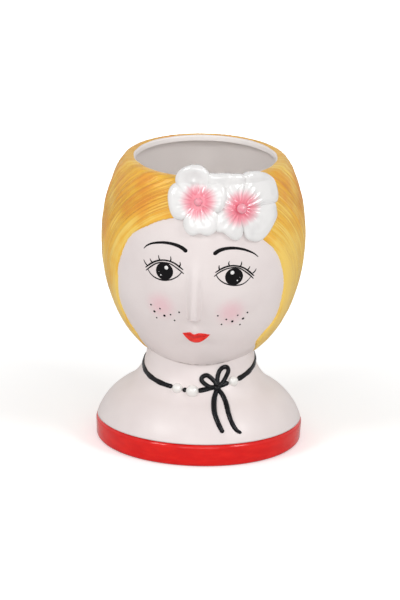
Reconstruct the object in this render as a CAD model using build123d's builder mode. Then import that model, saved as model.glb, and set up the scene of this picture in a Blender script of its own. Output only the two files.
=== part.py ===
from build123d import *
import math
import os

# Head planter in glazed ceramic: a hollow head with an open crown, standing on a
# hollow neck and shoulders. Millimetres, +Z up, origin in the middle of the standing
# face, the face looks towards -Y and +X is on the viewer's right.
os.makedirs("parts", exist_ok=True)

# Driving sizes of the whole planter
rim_height = 203.5
neck_height = 65.5
band_height = 16.0
base_width = 142.4
neck_width = 74.0
head_width = 140.0
mouth_width = 96.4
wall = 5.0
cut_overrun = 2.0

# Shoulders: they stand on the band, lean in from its edge, then sweep up to the neck
shoulder_inset = 0.8
shoulder_lean_angle = 19

# Where the shoulders' swell turns into the hollow of the neck: shares of the way in from
# the shoulders to the neck and up from the band to the neck's top
fold_in_share = 0.533
fold_up_share = 0.440

# Head outline: where it is widest and where the cheeks turn in, as shares of the way up
# from the neck to the rim and, for the cheeks, of the way out from neck to head width
widest_up_share = 0.576
cheek_up_share = 0.2486
cheek_out_share = 0.7515

# Base pan: floor, foot ring and the red hem band
band_foot_inset = 0.5
band_top_inset = 0.5
floor_thickness = 5.0
foot_recess = 4.0
foot_ring_width = 9.0
band_bottom_round = 4.0
band_top_round = 0.8
drain_radius = 6.5

# Drain plug: a soft stopper pushed into the floor from below
plug_clearance = 0.1
plug_flange_radius = 10.0
plug_flange_thickness = 2.5
plug_seat_gap = 0.2
plug_stem_over = 3.0
plug_tip_taper = 0.8
plug_edge_round = 0.8

# Head: lip round the mouth, lower in front than at the back, nose and lips
lip_width = 5.5
lip_depth = 4.4
lip_drop = 4.5
lip_outer_round = 6.0
lip_inner_round = 1.2
nose_middle = -1.7
nose_root = 2.0
nose_width = 9.4
nose_proud = 6.0
lips_width = 19.4
lips_height = 7.4
lips_proud = 1.3

# Places on the face: shares of the way up from the neck to the rim
nose_top_share = 0.576
nose_bottom_share = 0.255
lips_line_share = 0.186

# Hair: a raised layer round the head, open at the face
hair_thickness = 1.5
hair_lip_gap = 4.2

# Flowers: two five-petalled blossoms on the forehead
flower_radius = 25.0
flower_one_drop = 18.5
flower_two_drop = 21.9
petal_thickness = 5.0
petal_centre_lift = 4.6
petal_tip_lift = 4.2
petal_half_width = 14.2
petal_edge_round = 1.4
petal_upright_drop = 2.5
knob_radius = 3.6
knob_lift = 5.4

# Choker: a ribbon band round the neck, three pearls and a bow
ribbon_width = 3.4
ribbon_proud = 0.9
pearl_radius = 4.0
small_pearl_radius = 3.6
knot_radius = 2.7
bow_drop = 1.1
bow_proud = 1.3
bow_stroke = 2.5

# How far up the shoulders and neck the choker's middle sits, and its slopes towards the
# front and sideways; its back turns level at a share of the neck width behind the middle
ribbon_up_share = 0.808
choker_front_slope = 0.2
choker_side_slope = 0.04
choker_back_share = 0.6
choker_steps = 4

# Shares of the nose length from the bridge down, of its width and of how proud it is
nose_shares = [
    (0.0, 0.50, 0.10),
    (0.30, 0.46, 0.36),
    (0.62, 0.62, 0.74),
    (0.86, 1.0, 1.0),
    (1.0, 0.96, 0.80),
]

# Hairline round the face: shares of half the head width and of the head rise
hairline_shares = [
    (-0.500, 0.0),
    (-0.556, 0.050),
    (-0.606, 0.109),
    (-0.699, 0.185),
    (-0.781, 0.290),
    (-0.795, 0.405),
    (-0.784, 0.499),
    (-0.680, 0.649),
    (-0.489, 0.731),
    (-0.240, 0.784),
    (0.060, 0.806),
    (0.370, 0.775),
    (0.646, 0.656),
    (0.760, 0.572),
    (0.816, 0.444),
    (0.797, 0.327),
    (0.733, 0.216),
    (0.574, 0.111),
    (0.550, 0.050),
    (0.520, 0.0),
]

# Upper and lower lip lines: shares of half the lips' width and of their height
upper_lip_shares = [(-1.0, 0.0), (-0.42, 0.09), (-0.04, -0.12), (0.36, 0.09), (1.0, 0.0)]
lower_lip_shares = [(1.0, 0.0), (0.52, -0.62), (0.0, -1.0), (-0.52, -0.62), (-1.0, 0.0)]

# Where the flowers sit across the head: shares of half the head width
flower_one_place_share = -0.006
flower_two_place_share = 0.370

# Petal tips: shares of the flower radius across and up from its centre, then of the
# petal's usual half width and of its usual tip lift
petals_one_shares = {
    "right": (0.70, 0.14, 1.0, 1.4),
    "top": (-0.31, 1.0, 1.0, 0.5),
    "bottom": (0.05, -0.88, 1.06, 1.0),
    "left": (-0.78, -0.02, 1.0, 1.2),
    "upper_right": (0.45, 0.66, 0.9, 0.9),
}
petals_two_shares = {
    "upper_right": (0.63, 0.70, 1.08, 1.0),
    "lower_right": (0.80, -0.79, 1.10, 1.0),
    "lower_left": (-0.34, -0.81, 1.0, 1.0),
    "upper_left": (-0.16, 0.74, 0.9, 1.0),
    "left": (-0.60, -0.08, 0.9, 1.0),
}

# How far a petal runs back past its flower's centre: a share of its reach
petal_root_share = 0.08

# Half a petal sector's reach, and the line that parts the flowers where it passes the
# right flower's lower edge and centre: shares of the flower radius and half head width
sector_reach_share = 3.0
divide_low_share = 0.175
divide_high_share = 0.255

# Places along the choker: shares of half the neck width
pearl_one_share = -0.349
pearl_two_share = -0.070
pearl_three_share = 0.665
knot_share = 0.381

# Bow loops and tails: shares of half the neck width across and of the neck width up,
# all measured from the knot
loop_left_shares = [
    (0.0, -0.005), (-0.19, 0.011), (-0.335, 0.076), (-0.216, 0.127), (-0.057, 0.080),
]
hole_left_shares = [
    (-0.08, 0.028), (-0.17, 0.040), (-0.25, 0.078), (-0.195, 0.095), (-0.10, 0.066),
]
loop_right_shares = [
    (0.0, 0.0), (-0.03, 0.117), (0.027, 0.172), (0.149, 0.188), (0.216, 0.147), (0.14, 0.04),
]
hole_right_shares = [
    (0.045, 0.050), (0.032, 0.110), (0.062, 0.147), (0.130, 0.158), (0.150, 0.130), (0.10, 0.068),
]
tail_left_shares = [
    (0.0, -0.02), (-0.032, -0.088), (-0.032, -0.135), (0.0, -0.188), (0.076, -0.257), (0.17, -0.33),
]
tail_right_shares = [
    (0.03, -0.015), (0.14, -0.078), (0.208, -0.14), (0.25, -0.195), (0.33, -0.263), (0.43, -0.32),
]


def blend(low, high, share):
    """Value that lies the given share of the way from low to high."""
    return low + (high - low) * share


shoulder_radius = base_width / 2 - shoulder_inset
ribbon_height = blend(band_height, neck_height, ribbon_up_share)
flower_one_height = rim_height - flower_one_drop
flower_two_height = rim_height - flower_two_drop
rim_width = mouth_width + 2 * lip_width
rim_plane = Plane(
    origin=(0, rim_width / 2 + cut_overrun, rim_height), z_dir=(0, -lip_drop / rim_width, 1)
)


def bust_skin(grow):
    """Solid of the neck and shoulders, grown sideways by the given amount."""
    lean_turn = math.radians(shoulder_lean_angle)
    lean = (-math.sin(lean_turn), math.cos(lean_turn))
    fold_radius = blend(shoulder_radius, neck_width / 2, fold_in_share)
    fold_height = blend(band_height, neck_height, fold_up_share)
    shoulder_point = (shoulder_radius + grow, band_height)
    fold_point = (fold_radius + grow, fold_height)
    neck_top = (neck_width / 2 + grow, neck_height)
    with BuildPart() as skin:
        with BuildSketch(Plane.XZ):
            with BuildLine():
                shoulder = TangentArc(shoulder_point, fold_point, tangent=lean)
                TangentArc(fold_point, neck_top, tangent=shoulder % 1)
                Polyline(neck_top, (0, neck_height), (0, band_height), shoulder_point)
            make_face()
        revolve(axis=Axis.Z)
    return skin.part


def head_skin(grow):
    """Solid of the head up to its rim, grown sideways by the given amount."""
    widest_height = blend(neck_height, rim_height, widest_up_share)
    cheek_height = blend(neck_height, rim_height, cheek_up_share)
    cheek_radius = blend(neck_width, head_width, cheek_out_share) / 2
    widest_point = (head_width / 2 - hair_thickness + grow, widest_height)
    cheek_point = (cheek_radius - hair_thickness + grow, cheek_height)
    rim_point = (rim_width / 2 + grow, rim_height)
    neck_top = (neck_width / 2 + grow, neck_height)
    with BuildPart() as skin:
        with BuildSketch(Plane.XZ):
            with BuildLine():
                TangentArc(widest_point, rim_point, tangent=(0, 1))
                cheek = TangentArc(widest_point, cheek_point, tangent=(0, -1))
                TangentArc(cheek_point, neck_top, tangent=cheek % 1)
                Polyline(neck_top, (0, neck_height), (0, rim_height), rim_point)
            make_face()
        revolve(axis=Axis.Z)
    return skin.part


def head_cavity():
    """Solid of the space inside the head, up to the underside of the lip."""
    with BuildPart() as cavity:
        add(head_skin(-wall))
        split(bisect_by=rim_plane.offset(-lip_depth), keep=Keep.BOTTOM)
    return cavity.part


def front_of(block, across, height, lift):
    """Point on the front of a block at the given place, lifted off along its normal."""
    sight = Axis((across, -head_width, height), (0, 1, 0))
    hits = [hit for face in block.faces() for hit in face.find_intersection_points(sight)]
    point, normal = min(hits, key=lambda hit: hit[0].Y)
    return point + normal * lift


def front_of_head(across, height, lift):
    """Lifted point on the front of the head; near the rim it carries straight on up."""
    upright_height = rim_height - petal_upright_drop
    point = front_of(head_block, across, min(height, upright_height), lift)
    return point + Vector(0, 0, max(height - upright_height, 0))


def on_choker(share):
    """Point where the choker line crosses the front of the neck."""
    across = share * neck_width / 2
    point = Vector(0, -neck_width / 2, 0)
    for _ in range(choker_steps):
        height = ribbon_height + point.Y * choker_front_slope + across * choker_side_slope
        point = front_of(bust_block, across, height, 0)
    return point


def largest(part):
    """The part's largest solid: what is left of a piece once its neighbours are cut out."""
    return part.solids().sort_by(SortBy.VOLUME)[-1]


def write(part, name):
    """Label a finished piece and write its file."""
    part.label = name
    export_step(part, f"parts/{name}.step")


foot_inset = band_bottom_round + foot_ring_width
bust_block = bust_skin(0)
head_block = head_skin(0)
hair_block = head_skin(hair_thickness)

# Base pan: its wall is the red hem band, its floor stands on a foot ring
with BuildPart() as base_pan:
    with BuildSketch(Plane.XZ):
        with BuildLine():
            foot_point = (base_width / 2 - band_foot_inset, 0)
            band_middle = (base_width / 2, band_height / 2)
            band_point = (base_width / 2 - band_top_inset, band_height)
            ThreePointArc(foot_point, band_middle, band_point)
            Polyline(band_point, (0, band_height), (0, 0), foot_point)
        make_face()
    revolve(axis=Axis.Z)
    fillet(base_pan.edges().group_by(Axis.Z)[0], radius=band_bottom_round)
    fillet(base_pan.edges().group_by(Axis.Z)[-1], radius=band_top_round)
    with BuildSketch(Plane.XY.offset(foot_recess + floor_thickness)):
        Circle(shoulder_radius - wall)
    extrude(amount=band_height, mode=Mode.SUBTRACT)
    with BuildSketch(Plane.XY):
        Circle(base_width / 2 - foot_inset)
    extrude(amount=foot_recess, mode=Mode.SUBTRACT)
    with BuildSketch(Plane.XY):
        Circle(drain_radius)
    extrude(amount=band_height, mode=Mode.SUBTRACT)
write(base_pan.part, "base_pan")

# Drain plug: a flange under the floor and a stem through it
with BuildPart() as drain_plug:
    with BuildSketch(Plane.XY.offset(foot_recess - plug_seat_gap - plug_flange_thickness)):
        Circle(plug_flange_radius)
    extrude(amount=plug_flange_thickness)
    fillet(drain_plug.edges().group_by(Axis.Z)[0], radius=plug_edge_round)
    with BuildSketch(Plane.XY.offset(foot_recess - plug_seat_gap)):
        Circle(drain_radius - plug_clearance)
    extrude(amount=floor_thickness + plug_seat_gap + plug_stem_over)
    chamfer(drain_plug.edges().group_by(Axis.Z)[-1], length=plug_tip_taper)
write(drain_plug.part, "drain_plug")

# Neck and shoulders: a hollow casting, open below to the pan and above to the head
with BuildPart() as bust:
    add(bust_block)
    add(bust_skin(-wall), mode=Mode.SUBTRACT)
write(bust.part, "bust")

# Crown: the solid egg, cut off at the slanting rim and rounded over at its outer edge
with BuildPart() as crown:
    add(head_block)
    split(bisect_by=rim_plane, keep=Keep.BOTTOM)
    rim_face = crown.faces().filter_by(GeomType.PLANE).sort_by(Axis.Z)[-1]
    fillet(rim_face.edges(), radius=lip_outer_round)

# Head: a hollow egg with a rounded lip turned in at the crown, and a nose
with BuildPart() as head:
    add(crown.part)
    for length_share, width_share, proud_share in nose_shares:
        up_share = blend(nose_top_share, nose_bottom_share, length_share)
        height = blend(neck_height, rim_height, up_share)
        with BuildSketch(Plane(front_of(head_block, nose_middle, height, -nose_root))):
            Ellipse(nose_width * width_share / 2, nose_root + nose_proud * proud_share)
    loft()
    with BuildSketch(Plane.XY.offset(rim_height + cut_overrun)):
        Circle(mouth_width / 2)
    extrude(amount=-(lip_drop + lip_depth + 2 * cut_overrun), mode=Mode.SUBTRACT)
    rim_face = head.faces().filter_by(GeomType.PLANE).sort_by(Axis.Z)[-1]
    fillet(rim_face.inner_wires().edges(), radius=lip_inner_round)
    add(head_cavity(), mode=Mode.SUBTRACT)
write(head.part, "head")

# Hair: one raised layer from the neck seam to the lip, cut away over the face
with BuildPart() as hair:
    add(hair_block)
    split(bisect_by=rim_plane.offset(-hair_lip_gap), keep=Keep.BOTTOM)
    add(crown.part, mode=Mode.SUBTRACT)
    with BuildSketch(Plane.XZ):
        with BuildLine():
            window_points = [
                (across * head_width / 2, blend(neck_height, rim_height, rise))
                for across, rise in hairline_shares
            ]
            hairline = Spline(*window_points)
            chin_left = (window_points[0][0], neck_height - cut_overrun)
            chin_right = (window_points[-1][0], neck_height - cut_overrun)
            Polyline(hairline @ 0, chin_left, chin_right, hairline @ 1)
        make_face()
    extrude(amount=head_width, dir=(0, -1, 0), mode=Mode.SUBTRACT)
write(hair.part, "hair")

# Lips: a raised cupid's bow on the face
lips_line_height = blend(neck_height, rim_height, lips_line_share)
with BuildPart() as lips:
    with BuildSketch(Plane.XZ):
        with BuildLine():
            Spline(*[
                (across * lips_width / 2, lips_line_height + up * lips_height)
                for across, up in upper_lip_shares
            ])
            Spline(*[
                (across * lips_width / 2, lips_line_height + up * lips_height)
                for across, up in lower_lip_shares
            ])
        make_face()
    extrude(amount=head_width, dir=(0, -1, 0))
    add(head_skin(lips_proud), mode=Mode.INTERSECT)
    add(head_block, mode=Mode.SUBTRACT)
write(lips.part, "lips")


def petal_plate(centre, tip, half_width):
    """A rounded petal plate along the line from centre to tip, not yet cut by others."""
    along = (tip - centre).normalized()
    middle = (tip + centre) / 2
    outward = Vector(middle.X, middle.Y, 0).normalized()
    outward = outward - along * outward.dot(along)
    reach = (tip - centre).length
    plate_middle = centre + along * reach * (1 - petal_root_share) / 2
    with BuildPart() as plate:
        with BuildSketch(Plane(origin=plate_middle, x_dir=along, z_dir=outward)):
            Ellipse(reach * (1 + petal_root_share) / 2, half_width)
        extrude(amount=-petal_thickness)
        outer_face = plate.faces().sort_by(Axis(centre, outward))[-1]
        fillet(outer_face.edges(), radius=petal_edge_round)
    return plate.part


def petal_sector(flower_plane, tips, index):
    """Wedge round the flower's axis that reaches half way to the petals on either side."""
    turns = [math.atan2(local.Y, local.X) for local in map(flower_plane.to_local_coords, tips)]
    own = turns[index]
    steps = sorted((turn - own) % math.tau for turn in turns if turn != own)
    ahead = own + steps[0] / 2
    behind = own - (math.tau - steps[-1]) / 2
    far = flower_radius * sector_reach_share
    with BuildPart() as sector:
        with BuildSketch(flower_plane):
            Polygon(
                (0, 0),
                (far * math.cos(behind), far * math.sin(behind)),
                (far * math.cos(own), far * math.sin(own)),
                (far * math.cos(ahead), far * math.sin(ahead)),
                align=None,
            )
        extrude(amount=flower_radius, both=True)
    return sector.part


# Flowers: each has five petals round a knob, meeting along sector faces, and one slanted
# face parts the two flowers
divide_low = Vector(divide_low_share * head_width / 2, 0, flower_two_height - flower_radius)
divide_high = Vector(divide_high_share * head_width / 2, 0, flower_two_height)
divide_rise = divide_high - divide_low
divide_plane = Plane(origin=divide_low, z_dir=(divide_rise.Z, 0, -divide_rise.X))
for flower, place_share, flower_height, petals_shares, kept_side in [
    ("left", flower_one_place_share, flower_one_height, petals_one_shares, Keep.BOTTOM),
    ("right", flower_two_place_share, flower_two_height, petals_two_shares, Keep.TOP),
]:
    flower_across = place_share * head_width / 2
    foot = front_of_head(flower_across, flower_height, 0)
    centre = front_of_head(flower_across, flower_height, petal_centre_lift)
    flower_plane = Plane(origin=centre, x_dir=(-foot.Y, foot.X, 0), z_dir=centre - foot)
    tips = [
        front_of_head(
            flower_across + across * flower_radius,
            flower_height + up * flower_radius,
            petal_tip_lift * lift,
        )
        for across, up, _, lift in petals_shares.values()
    ]
    with BuildPart() as knob:
        with Locations(front_of_head(flower_across, flower_height, knob_lift)):
            Sphere(knob_radius)
    write(knob.part, f"{flower}_flower_knob")
    for index, (name, shares) in enumerate(petals_shares.items()):
        with BuildPart() as leaf:
            add(petal_plate(centre, tips[index], petal_half_width * shares[2]))
            add(petal_sector(flower_plane, tips, index), mode=Mode.INTERSECT)
            split(bisect_by=divide_plane, keep=kept_side)
            add(knob.part, mode=Mode.SUBTRACT)
            add(crown.part, mode=Mode.SUBTRACT)
            add(hair.part, mode=Mode.SUBTRACT)
        write(largest(leaf.part), f"{flower}_flower_{name}_petal")

# Pearls: three glazed beads half sunk in the front of the neck
pearls = []
for name, share, radius in [
    ("pearl_left", pearl_one_share, small_pearl_radius),
    ("pearl_middle", pearl_two_share, pearl_radius),
    ("pearl_right", pearl_three_share, pearl_radius),
]:
    with BuildPart() as bead:
        with Locations(on_choker(share)):
            Sphere(radius)
        add(bust_block, mode=Mode.SUBTRACT)
    pearls.append(bead.part)
    write(bead.part, name)

# Bow knot: a round blob of black slip that the loops and tails grow from
knot_line_point = on_choker(knot_share)
knot_point = front_of(bust_block, knot_line_point.X, knot_line_point.Z - bow_drop, 0)
with BuildPart() as bow_knot:
    with Locations(knot_point):
        Sphere(knot_radius)
    add(bust_block, mode=Mode.SUBTRACT)
write(bow_knot.part, "bow_knot")

ribbon_skin = bust_skin(ribbon_proud)
bow_skin = bust_skin(bow_proud)


def choker_band(cutters, left_share, right_share, keep_front):
    """Length of the flat ribbon: the part in front between two places, or all the rest."""
    side_plane = Plane(
        origin=(0, 0, ribbon_height), x_dir=(0, 1, 0), z_dir=(1, 0, choker_side_slope)
    )
    half_span = (right_share - left_share) * neck_width / 4
    middle = (left_share + right_share) * neck_width / 4
    with BuildPart() as band:
        with BuildSketch(side_plane):
            with BuildLine():
                back_reach = choker_back_share * neck_width
                front_line = Line((-neck_width, -neck_width * choker_front_slope), (0, 0))
                back_point = (back_reach, back_reach * choker_front_slope / 2)
                TangentArc((0, 0), back_point, tangent=front_line % 1)
            trace(line_width=ribbon_width)
        extrude(amount=neck_width, both=True)
        add(ribbon_skin, mode=Mode.INTERSECT)
        add(bust_block, mode=Mode.SUBTRACT)
        with BuildSketch(Plane.XZ):
            with Locations((middle, neck_height / 2)):
                Rectangle(half_span * 2, neck_height)
        front_mode = Mode.INTERSECT if keep_front else Mode.SUBTRACT
        extrude(amount=neck_width, dir=(0, -1, 0), mode=front_mode)
        for cutter in cutters:
            add(cutter, mode=Mode.SUBTRACT)
    return largest(band.part)


black_spots = pearls + [bow_knot.part]
write(choker_band(black_spots, pearl_one_share, pearl_three_share, False), "choker_ribbon")
write(choker_band(black_spots, pearl_one_share, pearl_two_share, True), "ribbon_spacer")


def neck_point(share):
    """Place in front view for a pair of shares measured from the knot."""
    across, up = share
    return (knot_point.X + across * neck_width / 2, knot_point.Z + up * neck_width)


def bow_loop(outline_shares, hole_shares, neighbours):
    """A raised ring of the bow, drawn in front view and laid on the neck."""
    with BuildPart() as loop:
        with BuildSketch(Plane.XZ):
            with BuildLine():
                Spline(*[neck_point(share) for share in outline_shares], periodic=True)
            make_face()
            with BuildLine():
                Spline(*[neck_point(share) for share in hole_shares], periodic=True)
            make_face(mode=Mode.SUBTRACT)
        extrude(amount=base_width, dir=(0, -1, 0))
        add(bow_skin, mode=Mode.INTERSECT)
        add(bust_block, mode=Mode.SUBTRACT)
        for neighbour in neighbours:
            add(neighbour, mode=Mode.SUBTRACT)
    return largest(loop.part)


def bow_tail(line_shares, neighbours):
    """A hanging end of the bow: a stroke that narrows towards its tip."""
    with BuildPart() as tail:
        with BuildSketch(Plane.XZ):
            with BuildLine():
                Spline(*[neck_point(share) for share in line_shares])
            trace(line_width=bow_stroke)
        extrude(amount=base_width, dir=(0, -1, 0))
        add(bow_skin, mode=Mode.INTERSECT)
        add(bust_block, mode=Mode.SUBTRACT)
        for neighbour in neighbours:
            add(neighbour, mode=Mode.SUBTRACT)
    return largest(tail.part)


bow_pieces = [bow_knot.part]
for name, outline_shares, hole_shares in [
    ("bow_loop_left", loop_left_shares, hole_left_shares),
    ("bow_loop_right", loop_right_shares, hole_right_shares),
]:
    loop_part = bow_loop(outline_shares, hole_shares, bow_pieces)
    bow_pieces.append(loop_part)
    write(loop_part, name)
for name, line_shares in [("bow_tail_left", tail_left_shares), ("bow_tail_right", tail_right_shares)]:
    tail_part = bow_tail(line_shares, bow_pieces)
    bow_pieces.append(tail_part)
    write(tail_part, name)
write(choker_band(pearls + bow_pieces, pearl_two_share, knot_share, True), "ribbon_stub_left")
write(choker_band(pearls + bow_pieces, knot_share, pearl_three_share, True), "ribbon_stub_right")
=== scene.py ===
import math

import bmesh
import bpy
import numpy as np
from mathutils import Matrix, Quaternion, Vector


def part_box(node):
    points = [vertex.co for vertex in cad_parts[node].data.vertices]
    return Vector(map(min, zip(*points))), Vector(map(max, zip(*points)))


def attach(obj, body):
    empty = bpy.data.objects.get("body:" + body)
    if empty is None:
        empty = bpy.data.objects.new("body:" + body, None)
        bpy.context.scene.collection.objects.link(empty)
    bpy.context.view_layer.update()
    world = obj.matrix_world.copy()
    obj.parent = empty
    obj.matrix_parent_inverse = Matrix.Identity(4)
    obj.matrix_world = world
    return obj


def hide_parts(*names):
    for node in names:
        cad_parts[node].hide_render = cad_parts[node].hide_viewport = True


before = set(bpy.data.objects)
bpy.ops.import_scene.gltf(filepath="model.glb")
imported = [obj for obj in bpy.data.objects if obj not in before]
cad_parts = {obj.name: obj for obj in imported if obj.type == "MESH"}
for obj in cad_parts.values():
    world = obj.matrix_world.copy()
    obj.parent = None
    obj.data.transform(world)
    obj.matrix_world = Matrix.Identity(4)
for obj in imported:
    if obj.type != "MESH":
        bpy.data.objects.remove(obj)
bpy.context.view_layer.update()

# Base pan: a slip-cast earthenware ring with a floor and a foot, luted under the shoulders.
# Its wall is the bright red hem band, brushed on by hand and glazed; the foot stays bare.
MILLIMETRE = 0.001
pan_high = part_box("base_pan")[1]
base_radius = pan_high.x / MILLIMETRE
band_height = pan_high.z / MILLIMETRE
wall = 5.0
band_foot_inset = 0.5
band_corner = 3.2
floor_thickness = 5.0
foot_recess = 4.0
foot_ring_width = 9.0
drain_radius = 6.5
red_paint = (0.70, 0.002, 0.001)
red_paint_thin = (0.78, 0.007, 0.003)
paint_depth = 3.0
bare_clay = (0.62, 0.52, 0.43)
inner_glaze = (0.84, 0.79, 0.77)


def rounded(centre, radius, start_angle, end_angle, count):
    """Points along an arc of a profile, angles in degrees from outward."""
    angles = np.radians(np.linspace(start_angle, end_angle, count))
    return [(centre[0] + radius * math.cos(a), centre[1] + radius * math.sin(a)) for a in angles]


def divided(start, end, count):
    """Points that divide a straight stretch of a profile, without its end."""
    return [tuple(np.add(start, np.subtract(end, start) * i / count)) for i in range(count)]


def placed(name, data):
    """A new object in the scene that shows a mesh, or holds a lamp or a camera."""
    made = bpy.data.objects.new(name, data)
    bpy.context.scene.collection.objects.link(made)
    return made


def as_piece(name, points, faces, material):
    """Makes a shown piece from points in millimetres and lists of corner numbers."""
    mesh = bpy.data.meshes.new(name)
    mesh.from_pydata((np.asarray(points, float) * MILLIMETRE).tolist(), [], faces)
    shape = bmesh.new()
    shape.from_mesh(mesh)
    bmesh.ops.recalc_face_normals(shape, faces=shape.faces)
    shape.to_mesh(mesh)
    shape.free()
    mesh.shade_smooth()
    mesh.materials.append(material)
    return placed(name, mesh)


def ring_faces(rows, columns, closed_rows, closed_columns):
    """Corner numbers of the four-sided faces of a grid that may close on itself."""
    faces = []
    for row in range(rows if closed_rows else rows - 1):
        for column in range(columns if closed_columns else columns - 1):
            below, above = row * columns, (row + 1) % rows * columns
            after = (column + 1) % columns
            faces.append((below + column, below + after, above + after, above + column))
    return faces


def drum_faces(rows, columns):
    """The faces of a grid closed round its columns, with a cap on its first and last rings."""
    last = (rows - 1) * columns
    caps = [tuple(range(columns)), tuple(range(last, last + columns))]
    return ring_faces(rows, columns, False, True) + caps


def spun(radius, height, turns):
    """Points at radii and heights of a grid whose columns stand at turns from the front."""
    return np.stack([
        radius * np.sin(turns), -radius * np.cos(turns), height + 0 * turns,
    ], axis=-1).reshape(-1, 3)


def thrown(profile, turns):
    """Points of a closed profile of (radius, height) carried round the upright axis."""
    profile = np.asarray(profile)
    return spun(profile[:, :1], profile[:, 1:], turns)


class Wire:
    """One output of a material's nodes; sums and products of wires add Math nodes."""

    def __init__(self, tree, socket):
        self.tree = tree
        self.socket = socket

    def node(self, kind, inputs=(), output=0, **settings):
        """Adds any other node to the same tree, with its settings and its inputs."""
        made = self.tree.nodes.new(kind)
        for name, value in settings.items():
            setattr(made, name, value)
        for key, value in dict(inputs).items():
            if isinstance(value, Wire):
                self.tree.links.new(value.socket, made.inputs[key])
            else:
                made.inputs[key].default_value = value
        return made if output is None else Wire(self.tree, made.outputs[output])

    def maths(self, operation, *others):
        """A Math node on this wire and others."""
        return self.node("ShaderNodeMath", dict(enumerate((self, *others))), operation=operation)

    def vectors(self, operation, *others, output=0):
        """A Vector Math node on this wire and others."""
        terms = dict(enumerate((self, *others)))
        return self.node("ShaderNodeVectorMath", terms, output, operation=operation)

    def scaled(self, factor):
        """This vector times a number."""
        return self.node("ShaderNodeVectorMath", {0: self, "Scale": factor}, operation="SCALE")

    def axis(self, letter):
        """One of this vector's three parts."""
        return self.node("ShaderNodeSeparateXYZ", {0: self}, letter)

    def marked(self, name, output="Fac"):
        """What the points of the piece carry under a name."""
        return self.node("ShaderNodeAttribute", output=output, attribute_name=name)

    def __add__(self, other):
        return self.maths("ADD", other)

    def __sub__(self, other):
        return self.maths("SUBTRACT", other)

    def __mul__(self, other):
        return self.maths("MULTIPLY", other)

    def __radd__(self, other):
        return self + other

    def __rmul__(self, other):
        return self * other

    def __rsub__(self, other):
        return self * -1.0 + other

    def step(self, low, high):
        """0 where this wire is at low, 1 where it is at high, and smooth between them."""
        return self.node(
            "ShaderNodeMapRange", {0: self, 1: low, 2: high, 3: 0.0, 4: 1.0},
            interpolation_type="SMOOTHSTEP",
        )

    def colours(self, low, high):
        """A colour that goes from low to high as this wire goes from 0 to 1."""
        ends = [(*end, 1.0) if isinstance(end, tuple) else end for end in (low, high)]
        return self.node("ShaderNodeMix", {0: self, 6: ends[0], 7: ends[1]}, 2, data_type="RGBA")


def glaze(name, rough, coat, shine=0.5):
    """A new glazed finish: its principled shader, and the place on the piece in millimetres."""
    material = bpy.data.materials.new(name)
    material.use_nodes = True
    tree = material.node_tree
    shader = tree.nodes["Principled BSDF"]
    shader.inputs["Roughness"].default_value = rough
    shader.inputs["IOR"].default_value = 1.5
    shader.inputs["Specular IOR Level"].default_value = shine
    shader.inputs["Coat Weight"].default_value = coat
    shader.inputs["Coat Roughness"].default_value = 0.035
    start = Wire(tree, tree.nodes.new("ShaderNodeTexCoord").outputs["Object"])
    return material, shader, start.scaled(1 / MILLIMETRE)


def feed(shader, name, wire):
    """Leads a wire to one of the shader's own sockets."""
    wire.tree.links.new(wire.socket, shader.inputs[name])


def mottle(place, size, detail=2.0):
    """Soft cloudy variation from 0 to 1 with patches of the given size in millimetres."""
    return place.node(
        "ShaderNodeTexNoise",
        {"Vector": place, "Scale": 1 / size, "Detail": detail, "Roughness": 0.5},
    )


def dimple(shader, height, depth):
    """Lets a height from 0 to 1 stand out of the surface by the given millimetres."""
    feed(shader, "Normal", height.node(
        "ShaderNodeBump", {"Height": height, "Distance": depth * MILLIMETRE, "Strength": 1.0},
    ))


red_glaze, red_shader, red_place = glaze("red_glaze", 0.06, 0.6, 0.03)
red_strokes = mottle(red_place.node(
    "ShaderNodeMapping", {"Vector": red_place, "Scale": (1.0, 1.0, 3.0)},
), 14.0, 3.0)
red_colour = red_strokes.step(0.35, 0.70).colours(red_paint, red_paint_thin)
red_out = red_place.vectors("MULTIPLY", (1, 1, 0)).vectors("LENGTH", output="Value")
red_high = red_place.axis("Z")
pan_colour = red_high.step(foot_recess + 0.5, foot_recess + 1.5).colours(bare_clay, inner_glaze)
outside = red_out.step(base_radius - paint_depth, base_radius - 0.8 * paint_depth)
feed(red_shader, "Base Color", outside.colours(pan_colour, red_colour))
feed(red_shader, "Roughness", 0.08 + 0.12 * red_strokes + 0.5 * red_high.step(0.5, 0.0))
dimple(red_shader, mottle(red_place, 9.0), 0.06)

band_turns = np.linspace(0, math.tau, 181)[:-1]
band_foot = base_radius - band_foot_inset
foot_inner = base_radius - foot_ring_width - wall
floor_top = foot_recess + floor_thickness
pan_inner = base_radius - wall
pan_profile = (
    divided((drain_radius, foot_recess), (foot_inner, foot_recess), 8)
    + divided((foot_inner, foot_recess), (foot_inner, 0), 2)
    + divided((foot_inner, 0), (band_foot - band_corner, 0), 4)
    + rounded((band_foot - band_corner, band_corner), band_corner, -90, 0, 8)
    + rounded((base_radius - band_corner, band_height - band_corner), band_corner, 0, 90, 14)
    + divided((pan_inner, band_height), (pan_inner, floor_top), 4)
    + divided((pan_inner, floor_top), (drain_radius, floor_top), 8)
    + divided((drain_radius, floor_top), (drain_radius, foot_recess), 3)
)
base_pan = as_piece(
    "red_base_pan", thrown(pan_profile, band_turns),
    ring_faces(len(pan_profile), len(band_turns), True, True), red_glaze,
)
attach(base_pan, "planter")
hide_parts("base_pan")

# Drain plug: a soft rubber stopper, pushed up through the floor from below. Its flange lies
# in the foot recess and its stem grips the drain hole.
plug_low, plug_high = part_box("drain_plug")
plug_flange_radius = plug_high.x / MILLIMETRE
plug_flange_thickness = 2.5
plug_stem_radius = 6.4
plug_round = 0.8
plug_grey = (0.46, 0.44, 0.42)
plug_pale_grey = (0.52, 0.50, 0.48)

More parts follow.
